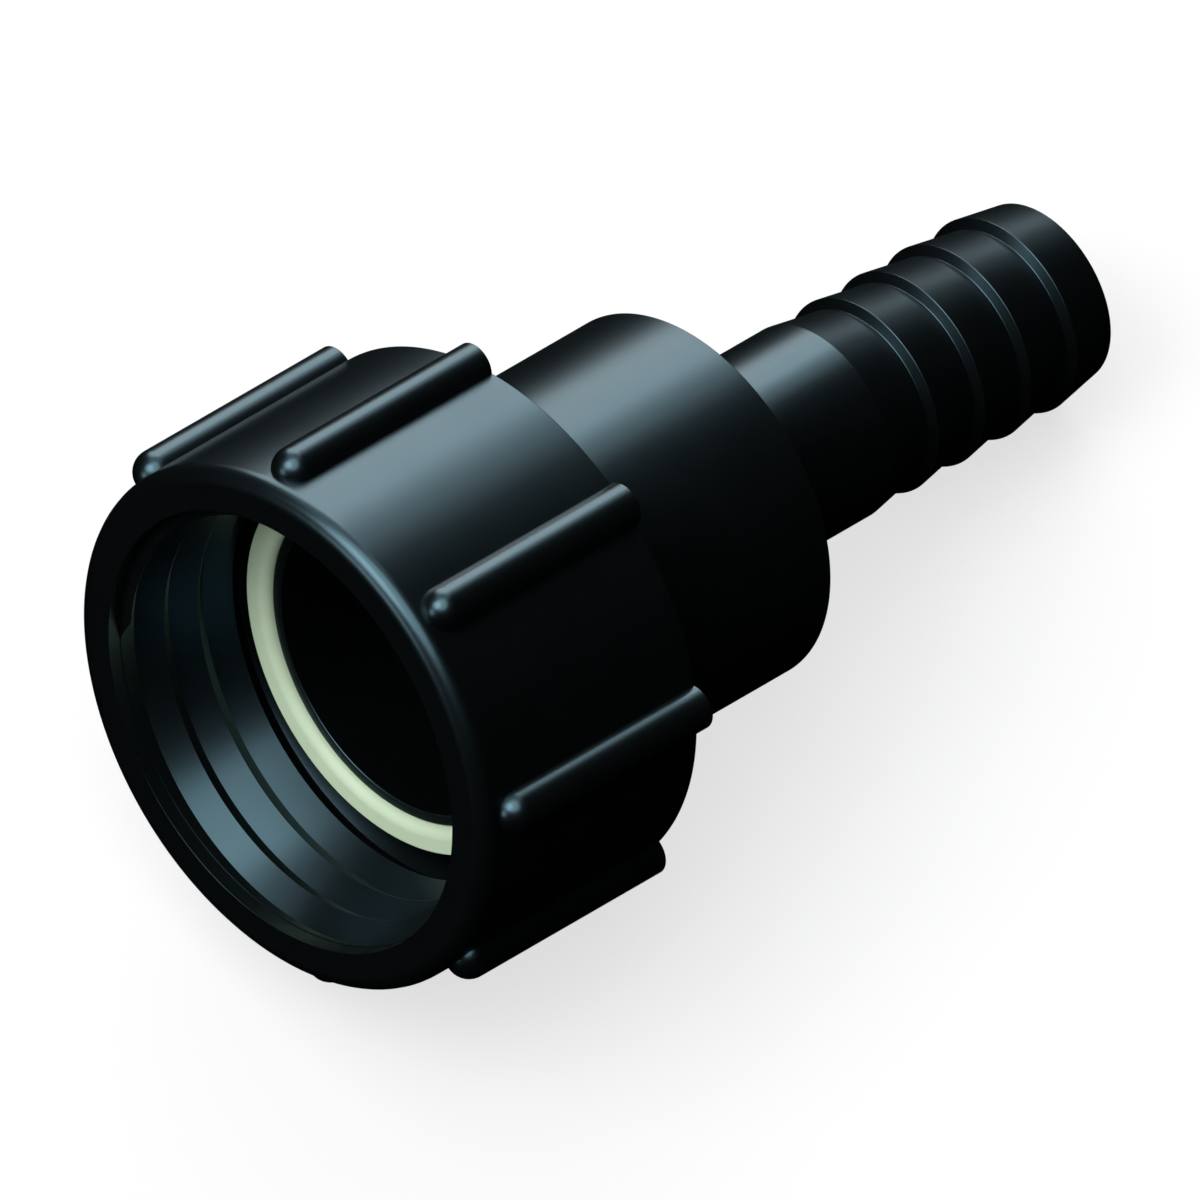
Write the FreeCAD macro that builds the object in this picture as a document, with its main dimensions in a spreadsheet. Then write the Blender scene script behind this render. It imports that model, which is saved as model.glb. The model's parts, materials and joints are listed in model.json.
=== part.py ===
import FreeCAD, Part
import math
import os
import Sketcher

# Hose barb fitting for 25 mm hose: a moulded union nut with an inner coarse thread, a moulded
# hose tail that the nut pulls on, and a flat gasket between the tail and the mating spout.
# Each piece is built on its own axis, with the mouth face of the nut at height 0 and the barb
# tip at the top, and is then laid down as the fitting comes to rest on a table.
# Lengths are in millimetres and angles in degrees.

doc = FreeCAD.newDocument("HoseBarbFitting")

# The driving dimensions
SIZES = [
    ("nut_radius", 35.75, "outside of the nut between its ribs"),
    ("nut_wall", 5.75, "from the outside to the root of the thread"),
    ("nut_length", 37.3, "from the mouth face to the rear face"),
    ("nut_front_round", 2.25, "rounding of the front outer edge"),
    ("nut_rear_wall", 6.1, "thickness of the wall that pulls on the tail"),
    ("rib_count", 8, "grip ribs around the nut"),
    ("rib_radius", 3.0, "half round section of a rib"),
    ("rib_setback", 5.66, "centre of a rib's ball end behind the mouth face"),
    ("thread_depth", 1.8, "from root to crest"),
    ("thread_pitch", 6.0, "coarse right-hand thread"),
    ("thread_land", 3.1, "plain wall between the end of the groove and the rear wall"),
    ("thread_lead_in", 7.883, "how far in front of the mouth the groove would begin"),
    ("thread_crest_flat", 0.4, "width of the crest"),
    ("thread_flank_run", 3.2, "axial run of the flank that faces the mouth"),
    ("thread_load_lean", 0.1, "axial run of the steep flank that carries the load"),
    ("thread_overcut", 0.2, "how far the groove's outline reaches inside the crest, into air"),
    ("mouth_recess_depth", 2.0, "plain recess in front of the thread"),
    ("mouth_recess_margin", 0.1, "how far the recess is wider than the thread's root"),
    ("swivel_clearance", 0.25, "radial gap between the nut's rear hole and the collar"),
    ("swivel_end_gap", 0.2, "gap between the nut's rear wall and the tail's flange"),
    ("flange_clearance", 1.0, "radial gap between the thread crest and the flange"),
    ("flange_reach", 2.05, "how far the flange reaches behind the nut's rear wall"),
    ("flange_thickness", 5.0, "ring that the nut pulls on"),
    ("seal_boss_height", 3.46, "boss in front of the flange that carries the gasket"),
    ("seal_boss_step", 1.4, "how far the boss stands back from the flange's edge"),
    ("seal_boss_margin", 0.3, "how far the boss stands out past the gasket"),
    ("lip_height", 1.9, "centring lip inside the gasket"),
    ("lip_clearance", 0.1, "radial gap between the lip and the gasket"),
    ("gasket_width", 3.4, "from the outer to the inner edge of the gasket"),
    ("gasket_thickness", 3.0, "flat gasket"),
    ("gasket_inner_bevel", 1.0, "bevel of the gasket's inner front edge"),
    ("gasket_outer_bevel", 0.4, "bevel of the gasket's outer front edge"),
    ("collar_wall", 4.3, "wall of the collar"),
    ("collar_end", 71.6, "rear face of the collar behind the mouth face"),
    ("end_wall", 5.0, "wall that closes the collar down to the neck"),
    ("inner_corner_bevel", 2.0, "bevel where the end wall meets the collar wall"),
    ("bore_entry_chamfer", 1.5, "chamfer where the through bore begins"),
    ("through_bore_radius", 9.5, "bore of the neck and the barbs"),
    ("neck_wall", 3.8, "wall of the plain neck between the collar and the barbs"),
    ("neck_length", 22.4, "from the collar to the first barb"),
    ("barb_count", 5, "barb cones with the tip cone"),
    ("barb_pitch", 8.09, "from one barb crest to the next"),
    ("barb_wall", 2.5, "wall in the valley between two barbs"),
    ("barb_height", 1.3, "from the valley to the crest of a barb"),
    ("barb_shoulder_run", 0.63, "axial run of the shoulder that holds the hose"),
    ("barb_bury", 1.0, "how deep a barb ring reaches into the tube it stands on"),
    ("tip_cone_length", 7.14, "from the last crest to the end face"),
    ("tip_wall", 2.6, "wall at the end face"),
]

sheet = doc.addObject("Spreadsheet::Sheet", "Sizes")
for row, (alias, value, meaning) in enumerate(SIZES, start=1):
    sheet.set("A%d" % row, alias)
    sheet.set("B%d" % row, str(value))
    sheet.set("C%d" % row, meaning)
    sheet.setAlias("B%d" % row, alias)
doc.recompute()

# Radii from the outside of the nut inwards, so that each piece fits in the one around it
THREAD_ROOT = "(Sizes.nut_radius - Sizes.nut_wall)"
THREAD_CREST = "(%s - Sizes.thread_depth)" % THREAD_ROOT
RECESS_RADIUS = "(%s + Sizes.mouth_recess_margin)" % THREAD_ROOT
FLANGE_RADIUS = "(%s - Sizes.flange_clearance)" % THREAD_CREST
REAR_HOLE_RADIUS = "(%s - Sizes.flange_reach)" % FLANGE_RADIUS
COLLAR_RADIUS = "(%s - Sizes.swivel_clearance)" % REAR_HOLE_RADIUS
COLLAR_BORE = "(%s - Sizes.collar_wall)" % COLLAR_RADIUS
BOSS_RADIUS = "(%s - Sizes.seal_boss_step)" % FLANGE_RADIUS
GASKET_OUTER = "(%s - Sizes.seal_boss_margin)" % BOSS_RADIUS
GASKET_INNER = "(%s - Sizes.gasket_width)" % GASKET_OUTER
LIP_RADIUS = "(%s - Sizes.lip_clearance)" % GASKET_INNER

# Radii of the spigot from its bore outwards
NECK_RADIUS = "(Sizes.through_bore_radius + Sizes.neck_wall)"
VALLEY_RADIUS = "(Sizes.through_bore_radius + Sizes.barb_wall)"
CREST_RADIUS = "(%s + Sizes.barb_height)" % VALLEY_RADIUS
TIP_RADIUS = "(Sizes.through_bore_radius + Sizes.tip_wall)"

# Heights above the mouth face
SEAT_HEIGHT = "(Sizes.nut_length - Sizes.nut_rear_wall)"
FLANGE_REAR = "(%s - Sizes.swivel_end_gap)" % SEAT_HEIGHT
FLANGE_FRONT = "(%s - Sizes.flange_thickness)" % FLANGE_REAR
BOSS_FRONT = "(%s - Sizes.seal_boss_height)" % FLANGE_FRONT
LIP_FRONT = "(%s - Sizes.lip_height)" % BOSS_FRONT
GASKET_FRONT = "(%s - Sizes.gasket_thickness)" % BOSS_FRONT
END_WALL_FRONT = "(Sizes.collar_end - Sizes.end_wall)"
BARB_START = "(Sizes.collar_end + Sizes.neck_length)"
TIP_CREST = "(%s + Sizes.barb_pitch * (Sizes.barb_count - 1))" % BARB_START
TOTAL_LENGTH = "(%s + Sizes.tip_cone_length)" % TIP_CREST


def size(expression):
    """The present value of an expression over the sheet."""
    return float(sheet.evalExpression(expression))


def new_body(name):
    body = doc.addObject("PartDesign::Body", name)
    body.Label = name
    return body


def origin_feature(body, role):
    for feature in body.Origin.OriginFeatures:
        if feature.Role == role:
            return feature
    raise ValueError("no origin feature " + role)


def profile(body, name, corners):
    """A closed outline in the plane through the axis. Each corner is a radius and a height."""
    sketch = body.newObject("Sketcher::SketchObject", name)
    sketch.AttachmentSupport = [(origin_feature(body, "XZ_Plane"), "")]
    sketch.MapMode = "FlatFace"
    points = [FreeCAD.Vector(size(radius), size(height), 0) for radius, height in corners]
    for index, start in enumerate(points):
        end = points[(index + 1) % len(points)]
        sketch.addGeometry(Part.LineSegment(start, end), False)
    for index in range(len(points)):
        following = (index + 1) % len(points)
        sketch.addConstraint(Sketcher.Constraint("Coincident", index, 2, following, 1))
    for index, (radius, height) in enumerate(corners):
        for kind, value, expression in (
            ("DistanceX", points[index].x, radius),
            ("DistanceY", points[index].y, height),
        ):
            if expression == "0":
                sketch.addConstraint(Sketcher.Constraint("PointOnObject", index, 1, -1))
                continue
            number = sketch.addConstraint(Sketcher.Constraint(kind, -1, 1, index, 1, value))
            sketch.setExpression("Constraints[%d]" % number, expression)
    return sketch


def revolve(body, name, corners):
    """A solid turned from an outline, joined to what the body already holds."""
    sketch = profile(body, name + "_outline", corners)
    turned = body.newObject("PartDesign::Revolution", name)
    turned.Profile = sketch
    turned.ReferenceAxis = (sketch, ["V_Axis"])
    turned.Angle = 360
    doc.recompute()
    return turned


def ring_edge(feature, radius, height):
    """The name of the circular edge of that radius at that height."""
    for number, edge in enumerate(feature.Shape.Edges, start=1):
        curve = edge.Curve
        if not isinstance(curve, Part.Circle):
            continue
        if abs(curve.Radius - size(radius)) < 1e-4 and abs(curve.Center.z - size(height)) < 1e-4:
            return "Edge%d" % number
    raise ValueError("no edge at radius %s and height %s" % (radius, height))


def round_edge(body, name, base, radius, height, amount):
    rounding = body.newObject("PartDesign::Fillet", name)
    rounding.Base = (base, [ring_edge(base, radius, height)])
    rounding.setExpression("Radius", amount)
    doc.recompute()
    return rounding


def bevel_edge(body, name, base, radius, height, amount):
    bevel = body.newObject("PartDesign::Chamfer", name)
    bevel.Base = (base, [ring_edge(base, radius, height)])
    bevel.setExpression("Size", amount)
    doc.recompute()
    return bevel


# The union nut: a turned cup with a hole in its rear wall, eight grip ribs that end in half
# balls near the mouth, and a coarse thread. The flank that faces the mouth is long and gentle,
# and the flank behind each crest, which carries the load, is nearly square to the axis.
def make_nut():
    body = new_body("union_nut")
    cup = revolve(body, "nut_cup", [
        (RECESS_RADIUS, "0"),
        ("Sizes.nut_radius", "0"),
        ("Sizes.nut_radius", "Sizes.nut_length"),
        (REAR_HOLE_RADIUS, "Sizes.nut_length"),
        (REAR_HOLE_RADIUS, SEAT_HEIGHT),
        (THREAD_CREST, SEAT_HEIGHT),
        (THREAD_CREST, "Sizes.mouth_recess_depth"),
        (RECESS_RADIUS, "Sizes.mouth_recess_depth"),
    ])
    round_edge(body, "nut_front_rounding", cup, "Sizes.nut_radius", "0", "Sizes.nut_front_round")

    bar = body.newObject("PartDesign::AdditiveCylinder", "rib_bar")
    bar.setExpression("Radius", "Sizes.rib_radius")
    bar.setExpression("Height", "Sizes.nut_length - Sizes.rib_setback")
    bar.setExpression("Placement.Base.x", "Sizes.nut_radius")
    bar.setExpression("Placement.Base.z", "Sizes.rib_setback")
    doc.recompute()
    ball = body.newObject("PartDesign::AdditiveSphere", "rib_ball_end")
    ball.setExpression("Radius", "Sizes.rib_radius")
    ball.setExpression("Placement.Base.x", "Sizes.nut_radius")
    ball.setExpression("Placement.Base.z", "Sizes.rib_setback")
    doc.recompute()
    ribs = body.newObject("PartDesign::PolarPattern", "ribs")
    ribs.Originals = [bar, ball]
    ribs.Axis = (origin_feature(body, "Z_Axis"), [""])
    ribs.Angle = 360
    ribs.setExpression("Occurrences", "Sizes.rib_count")
    body.Tip = ribs
    doc.recompute()

    # The groove between two crests is cut along a helix. Its outline reaches a little inside
    # the crest radius, where there is only air, so that the cut is clean.
    slope = "(Sizes.thread_flank_run / Sizes.thread_depth)"
    groove_start = "(-Sizes.thread_lead_in)"
    root_start = "(%s + Sizes.thread_load_lean)" % groove_start
    crest_start = "(%s + Sizes.thread_pitch - Sizes.thread_crest_flat)" % groove_start
    root_end = "(%s - Sizes.thread_flank_run)" % crest_start
    groove_end = "(%s + Sizes.thread_overcut * %s)" % (crest_start, slope)
    inner_radius = "(%s - Sizes.thread_overcut)" % THREAD_CREST
    groove_rise = "(%s - Sizes.thread_land - %s)" % (SEAT_HEIGHT, groove_end)
    groove_outline = profile(body, "thread_groove_outline", [
        (inner_radius, groove_start),
        (THREAD_ROOT, root_start),
        (THREAD_ROOT, root_end),
        (inner_radius, groove_end),
    ])
    groove = body.newObject("PartDesign::SubtractiveHelix", "thread_groove")
    groove.Profile = groove_outline
    groove.ReferenceAxis = (groove_outline, ["V_Axis"])
    groove.Mode = 0
    groove.setExpression("Pitch", "Sizes.thread_pitch")
    groove.setExpression("Height", groove_rise)
    groove.LeftHanded = False
    groove.Reversed = False
    body.Tip = groove
    doc.recompute()
    return body


# The hose tail: one moulded tube. From the mouth it has the centring lip, the seal boss, the
# flange, the collar, the neck and the barbs. Each barb's shoulder faces the nut, and its cone
# falls towards the tip, so that a hose slides on and doesn't slide off.
def make_tail():
    body = new_body("hose_tail")
    tube = revolve(body, "tail_tube", [
        (COLLAR_BORE, LIP_FRONT),
        (LIP_RADIUS, LIP_FRONT),
        (LIP_RADIUS, BOSS_FRONT),
        (BOSS_RADIUS, BOSS_FRONT),
        (BOSS_RADIUS, FLANGE_FRONT),
        (FLANGE_RADIUS, FLANGE_FRONT),
        (FLANGE_RADIUS, FLANGE_REAR),
        (COLLAR_RADIUS, FLANGE_REAR),
        (COLLAR_RADIUS, "Sizes.collar_end"),
        (NECK_RADIUS, "Sizes.collar_end"),
        (NECK_RADIUS, BARB_START),
        (VALLEY_RADIUS, BARB_START),
        (VALLEY_RADIUS, "%s - Sizes.barb_shoulder_run" % TIP_CREST),
        (CREST_RADIUS, TIP_CREST),
        (TIP_RADIUS, TOTAL_LENGTH),
        ("Sizes.through_bore_radius", TOTAL_LENGTH),
        ("Sizes.through_bore_radius", END_WALL_FRONT),
        (COLLAR_BORE, END_WALL_FRONT),
    ])
    corner = bevel_edge(body, "inner_corner", tube, COLLAR_BORE, END_WALL_FRONT,
                        "Sizes.inner_corner_bevel")
    bevel_edge(body, "bore_entry", corner, "Sizes.through_bore_radius", END_WALL_FRONT,
               "Sizes.bore_entry_chamfer")

    buried = "(%s - Sizes.barb_bury)" % VALLEY_RADIUS
    shoulder_foot = "(%s - Sizes.barb_shoulder_run)" % BARB_START
    cone_foot = "(%s + Sizes.barb_pitch)" % shoulder_foot
    ring = revolve(body, "barb_ring", [
        (buried, shoulder_foot),
        (VALLEY_RADIUS, shoulder_foot),
        (CREST_RADIUS, BARB_START),
        (VALLEY_RADIUS, cone_foot),
        (buried, cone_foot),
    ])
    barbs = body.newObject("PartDesign::LinearPattern", "barbs")
    barbs.Originals = [ring]
    barbs.Direction = (origin_feature(body, "Z_Axis"), [""])
    barbs.setExpression("Length", "Sizes.barb_pitch * (Sizes.barb_count - 2)")
    barbs.setExpression("Occurrences", "Sizes.barb_count - 1")
    body.Tip = barbs
    doc.recompute()
    return body


# The gasket: a flat ring with bevelled front edges, centred by the lip of the tail.
def make_gasket():
    body = new_body("flat_gasket")
    ring = revolve(body, "gasket_ring", [
        (GASKET_INNER, GASKET_FRONT),
        (GASKET_OUTER, GASKET_FRONT),
        (GASKET_OUTER, BOSS_FRONT),
        (GASKET_INNER, BOSS_FRONT),
    ])
    inner = bevel_edge(body, "gasket_inner_edge", ring, GASKET_INNER, GASKET_FRONT,
                       "Sizes.gasket_inner_bevel")
    bevel_edge(body, "gasket_outer_edge", inner, GASKET_OUTER, GASKET_FRONT,
               "Sizes.gasket_outer_bevel")
    return body


# How the fitting comes to rest: its axis dips towards the barb tip, so that it stands on the
# rear ends of two neighbouring ribs and on the lower edge of the tip. The upright plane lies
# midway between two ribs.
def lay_down(bodies):
    half_step = 180.0 / size("Sizes.rib_count")
    rib_reach = size("Sizes.nut_radius") * math.cos(math.radians(half_step)) + size("Sizes.rib_radius")
    drop = rib_reach - size(TIP_RADIUS)
    run = size(TOTAL_LENGTH) - size("Sizes.nut_length")
    dip = math.degrees(math.atan2(drop, run))
    turn_to_lie = FreeCAD.Rotation(FreeCAD.Vector(0, 1, 0), 90 + dip)
    turn_between_ribs = FreeCAD.Rotation(FreeCAD.Vector(0, 0, 1), 180 + half_step)
    turn = turn_to_lie * turn_between_ribs
    box = FreeCAD.BoundBox()
    for body in bodies:
        body.Placement = FreeCAD.Placement(FreeCAD.Vector(0, 0, 0), turn)
        box.add(body.Shape.optimalBoundingBox(False))
    middle_of_foot = FreeCAD.Vector(box.Center.x, box.Center.y, box.ZMin)
    for body in bodies:
        body.Placement = FreeCAD.Placement(-middle_of_foot, turn)
    doc.recompute()


parts = [make_nut(), make_tail(), make_gasket()]
lay_down(parts)

# Every feature must have been made, and every piece must be one sound solid.
for item in doc.Objects:
    if "Invalid" in item.State or "Error" in item.State:
        raise RuntimeError("%s could not be made" % item.Name)
for body in parts:
    shape = body.Shape
    if shape.isNull() or not shape.isValid() or len(shape.Solids) != 1:
        raise RuntimeError("%s is not one sound solid" % body.Label)

os.makedirs("parts", exist_ok=True)
for body in parts:
    body.Shape.exportStep("parts/%s.step" % body.Label)
    print(body.Label, "volume", round(body.Shape.Volume, 1), "mm3")
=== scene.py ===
"""The looks of a hose barb fitting for 25 mm hose: a black union nut with grip ribs and a coarse
inner thread, a black hose tail with a collar, a plain neck and five barbs, and a pale gasket.

The pieces are drawn on the fitting's own axis, with the nut's mouth face at height 0 and the
barb tip at the top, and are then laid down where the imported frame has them. Sizes are in metres.
"""

import json
import math

import bpy
from mathutils import Matrix, Vector


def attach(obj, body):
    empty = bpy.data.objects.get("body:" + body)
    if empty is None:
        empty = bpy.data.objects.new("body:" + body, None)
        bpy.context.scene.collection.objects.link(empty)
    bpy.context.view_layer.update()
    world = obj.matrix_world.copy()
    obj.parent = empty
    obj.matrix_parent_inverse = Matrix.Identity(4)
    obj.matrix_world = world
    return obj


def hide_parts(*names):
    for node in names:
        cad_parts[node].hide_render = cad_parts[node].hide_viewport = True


bl_info = {
    "name": "Hose Barb Fitting",
    "version": (1, 0, 0),
    "blender": (4, 5, 0),
    "location": "View3D > Sidebar > Fitting",
    "description": "Builds a moulded union nut, a barbed hose tail and a flat gasket",
    "category": "Object",
}

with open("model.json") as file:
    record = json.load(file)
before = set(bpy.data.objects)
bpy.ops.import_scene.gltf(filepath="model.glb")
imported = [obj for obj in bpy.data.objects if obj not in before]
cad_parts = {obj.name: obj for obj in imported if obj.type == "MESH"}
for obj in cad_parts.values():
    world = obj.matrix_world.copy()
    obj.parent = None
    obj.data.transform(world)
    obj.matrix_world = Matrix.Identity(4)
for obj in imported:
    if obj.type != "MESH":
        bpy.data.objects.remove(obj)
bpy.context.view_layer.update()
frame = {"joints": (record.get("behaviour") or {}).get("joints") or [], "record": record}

MM = 0.001
SWIVEL = frame["joints"][0]
MOUNTS = {mount["name"]: mount for mount in frame["record"]["mounts"]}
SPIGOT = MOUNTS["hose_spigot"]["dims"]
MOUTH = MOUNTS["nut_thread"]["dims"]

# The fitting's axis runs from the mouth to the barb tip. The upright direction is square to it,
# and the quarter direction is a quarter turn on from that.
AXIS = Vector(SWIVEL["axis"]).normalized()
UPRIGHT = (Vector((0, 0, 1)) - AXIS * AXIS.z).normalized()
QUARTER = AXIS.cross(UPRIGHT)

# The nut stands on two of its eight ribs, so the plane of the first rib is half a step from the
# upright one. The swivel's point lies in the middle of the nut's rear wall.
HALF_RIB_STEP = math.pi / 8
SWIVEL_HEIGHT = 34.25 * MM
FIRST_RIB = UPRIGHT * math.cos(HALF_RIB_STEP) + QUARTER * math.sin(HALF_RIB_STEP)
LAID_DOWN = Matrix.Translation(Vector(SWIVEL["pos_m"]) - AXIS * SWIVEL_HEIGHT) @ Matrix(
    (FIRST_RIB, AXIS.cross(FIRST_RIB), AXIS)).transposed().to_4x4()

# What an outline's points belong to. All other points have mark 0.
THREAD_MARK = 1
RIB_MARK = 2

# Points on each rounded corner, faces round a rib, and rows of faces down the thread's flank.
NUT_ARC_POINTS = 8
RIB_ARC_POINTS = 12
TAIL_ARC_POINTS = 4
GASKET_ARC_POINTS = 8
RIB_COLUMNS = 48
FLANK_ROWS = 4

# The arc that an outline is swept along only carries its columns, which are put in their places
# afterwards. It stays short of a full turn, so that its ends don't meet.
CARRIER_RADIUS = 1.0
CARRIER_SWEEP = math.tau * 0.9

# Points nearer than the first length are one point. A rib stops short of the nut's rear face by
# the second, so that the two faces don't lie in one plane.
SAME_POINT = 0.001 * MM
FLUSH_STEP = 0.01 * MM

# Two faces that meet at less than this angle shade as one surface.
SMOOTH_BELOW_DEG = 24

# The camera looks as the picture was taken: without perspective, equally steep to three edges
# of a box whose long side is the fitting's axis. It sees nothing nearer or farther than stated.
VIEW_FROM = Vector((-0.38546, -0.37702, 0.84219))
VIEW_RIGHT = Vector((0.73753, -0.67439, 0.03565))
VIEW_CENTRE = Vector((-23.863, -16.314, 54.191)) * MM
FRAME_WIDTH = 148.68 * MM
CAMERA_DISTANCE = 0.6
NEAREST_SEEN = 0.01
FARTHEST_SEEN = 20.0

# The floor reaches this far each way, and its glow and its card together come to white. The sky
# lights the part softly and is black in its gloss, as in the picture, where only lamps show.
FLOOR_REACH = 4.0
FLOOR_GLOW = 0.7
SKY_STRENGTH = 0.25
SKY_IN_GLOSS = 0.0

# Each lamp's name, the direction it shines from, its strength and its angular width in degrees.
LAMPS = (
    ("Lamp over the neck, left", (0.551, 0.741, 0.383), 1.6, 40),
    ("Lamp over the neck, right", (0.687, 0.440, 0.579), 0.25, 24),
    ("Lamp over the nut", (0.265, 0.448, 0.854), 0.8, 56),
    ("Lamp before the mouth, high", (-0.297, -0.002, 0.955), 2.6, 54),
    ("Lamp before the mouth, middle", (-0.563, 0.247, 0.789), 1.7, 36),
    ("Lamp before the mouth, low", (-0.934, 0.253, 0.252), 0.45, 24),
)


def length_property(name, description, default):
    return bpy.props.FloatProperty(
        name=name, description=description, default=default, min=0, precision=5,
        subtype="DISTANCE", unit="LENGTH",
    )


def colour_property(name, description, default):
    return bpy.props.StringProperty(name=name, description=description, default=default)


class NutSizes(bpy.types.PropertyGroup):
    """Sizes of the union nut"""

    radius: length_property("Radius", "Outside of the nut between its ribs", 35.75 * MM)
    length: length_property("Length", "From the mouth face to the rear face", 37.3 * MM)
    rear_wall: length_property("Rear wall", "Wall that pulls on the tail", 6.1 * MM)
    front_round: length_property("Front rounding", "Radius of the front outer edge", 2.25 * MM)
    edge_round: length_property("Edge rounding", "Radius that the mould leaves on an edge", 0.15 * MM)
    mouth_round: length_property("Mouth rounding", "Radius of the mouth's inner edge", 0.03 * MM)
    rear_hole: length_property("Rear hole", "Radius of the hole that the collar turns in", 25.15 * MM)
    rib_count: bpy.props.IntProperty(
        name="Ribs", description="Grip ribs around the nut", default=8, min=3)
    rib_radius: length_property("Rib radius", "Half round section of a rib", 3.0 * MM)
    rib_setback: length_property("Rib setback", "Centre of a ball end behind the mouth face", 5.66 * MM)
    recess_radius: length_property(
        "Recess radius", "Plain recess at the mouth", MOUTH["r_mm"] * MM)
    recess_depth: length_property(
        "Recess depth", "Plain recess at the mouth", MOUTH["length_mm"] * MM)
    thread_crest: length_property("Thread crest", "Inner radius of the thread", 28.2 * MM)
    thread_depth: length_property("Thread depth", "From crest to root", 1.8 * MM)
    thread_pitch: length_property("Thread pitch", "Coarse right-hand thread", 6.0 * MM)
    thread_lead_in: length_property(
        "Lead-in", "Where the groove begins in front of the mouth", 7.883 * MM)
    thread_flat: length_property("Crest flat", "Width of the thread's crest", 0.1 * MM)
    thread_flank: length_property("Flank run", "Axial run of the flank that faces the mouth", 3.5 * MM)
    thread_lean: length_property("Load lean", "Axial run of the flank that carries the load", 0.1 * MM)
    thread_end: length_property("Thread end", "Height at which the groove has run out", 28.0 * MM)
    columns: bpy.props.IntProperty(
        name="Columns", description="Faces around the nut", default=240, min=24)


class TailSizes(bpy.types.PropertyGroup):
    """Sizes of the hose tail"""

    lip_radius: length_property("Lip radius", "Centring lip inside the gasket", 22.0 * MM)
    lip_front: length_property("Lip front", "Height of the lip's front face", 20.64 * MM)
    boss_radius: length_property("Boss radius", "Boss that carries the gasket", 25.8 * MM)
    boss_front: length_property("Boss front", "Height of the seal face", 22.54 * MM)
    flange_radius: length_property("Flange radius", "Ring that the nut pulls on", 27.2 * MM)
    flange_front: length_property("Flange front", "Height of the flange's front face", 26.0 * MM)
    flange_rear: length_property("Flange rear", "Height of the flange's rear face", 31.0 * MM)
    collar_radius: length_property("Collar radius", "Plain collar behind the nut", 24.9 * MM)
    collar_bore: length_property("Collar bore", "Inner radius of the collar", 20.6 * MM)
    collar_end: length_property("Collar end", "Height of the collar's rear face", 71.6 * MM)
    end_wall: length_property("End wall", "Wall that closes the collar", 5.0 * MM)
    corner_round: length_property("Corner rounding", "Inside corner at the end wall", 2.0 * MM)
    bore_entry: length_property("Bore entry", "Chamfer where the bore begins", 1.5 * MM)
    bore_radius: length_property("Bore", "Radius of the through bore", 9.5 * MM)
    neck_radius: length_property("Neck radius", "Plain neck", SPIGOT["r_mm"] * MM)
    neck_length: length_property("Neck length", "From the collar to the barbs", SPIGOT["length_mm"] * MM)
    barb_count: bpy.props.IntProperty(
        name="Barbs", description="Cones along the spigot, with the tip", default=5, min=1)
    barb_pitch: length_property("Barb pitch", "From one crest to the next", 8.09 * MM)
    barb_height: length_property("Barb height", "From the valley to the crest", 1.3 * MM)
    barb_shoulder: length_property("Barb shoulder", "Axial run of a shoulder", 0.63 * MM)
    tip_length: length_property("Tip length", "From the last crest to the end", 7.14 * MM)
    tip_radius: length_property("Tip radius", "Radius at the end face", 12.1 * MM)
    edge_round: length_property("Edge rounding", "Radius that the mould leaves on an edge", 0.15 * MM)
    columns: bpy.props.IntProperty(
        name="Columns", description="Faces around the tail", default=240, min=24)


class GasketSizes(bpy.types.PropertyGroup):
    """Sizes of the flat gasket"""

    outer_radius: length_property("Outer radius", "Outer edge of the ring", 25.5 * MM)
    inner_radius: length_property("Inner radius", "Inner edge of the ring", 22.1 * MM)
    thickness: length_property("Thickness", "From the seal face to the front", 3.0 * MM)
    inner_round: length_property("Inner rounding", "Rounding of the inner front edge", 1.5 * MM)
    outer_round: length_property("Outer rounding", "Rounding of the outer front edge", 0.15 * MM)
    columns: bpy.props.IntProperty(
        name="Columns", description="Faces around the ring", default=240, min=24)


class Finishes(bpy.types.PropertyGroup):
    """Colours of the materials, as sRGB hex values"""

    plastic_dark: colour_property("Plastic, dark", "Black polypropylene", "#020202")
    plastic_light: colour_property("Plastic, light", "Where less pigment shows", "#050505")
    plastic_gloss: colour_property("Plastic gloss", "Tint of the highlights", "#B5EBFF")
    rubber_dark: colour_property("Rubber, dark", "Pale gasket rubber in its mottling", "#AEC1A5")
    rubber_light: colour_property("Rubber, light", "Pale gasket rubber", "#B8CBAE")
    floor: colour_property("Floor", "Card that comes to white with its glow", "#747474")
    floor_bounce: colour_property("Floor bounce", "What the card throws back at the part", "#969A9C")
    sky: colour_property("Sky", "Soft light from all around", "#CBD6DC")


def linear(hex_value):
    """An sRGB hex colour as the linear colour that Blender's sockets take."""
    channels = [int(hex_value[start:start + 2], 16) / 255 for start in (1, 3, 5)]
    curved = [c / 12.92 if c <= 0.04045 else ((c + 0.055) / 1.055) ** 2.4 for c in channels]
    return (*curved, 1.0)


def add_node(tree, kind, sockets=None, **settings):
    """Adds a node, sets it up and fills its inputs, each by name or number, with a value or a link."""
    node = tree.nodes.new(kind)
    for name, value in settings.items():
        setattr(node, name, value)
    for key, value in (sockets or {}).items():
        if isinstance(key, int):
            socket = node.inputs[key]
        else:
            socket = next(s for s in node.inputs if s.name == key and s.enabled)
        if isinstance(value, bpy.types.NodeSocket):
            tree.links.new(value, socket)
        else:
            socket.default_value = value
    return node


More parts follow.
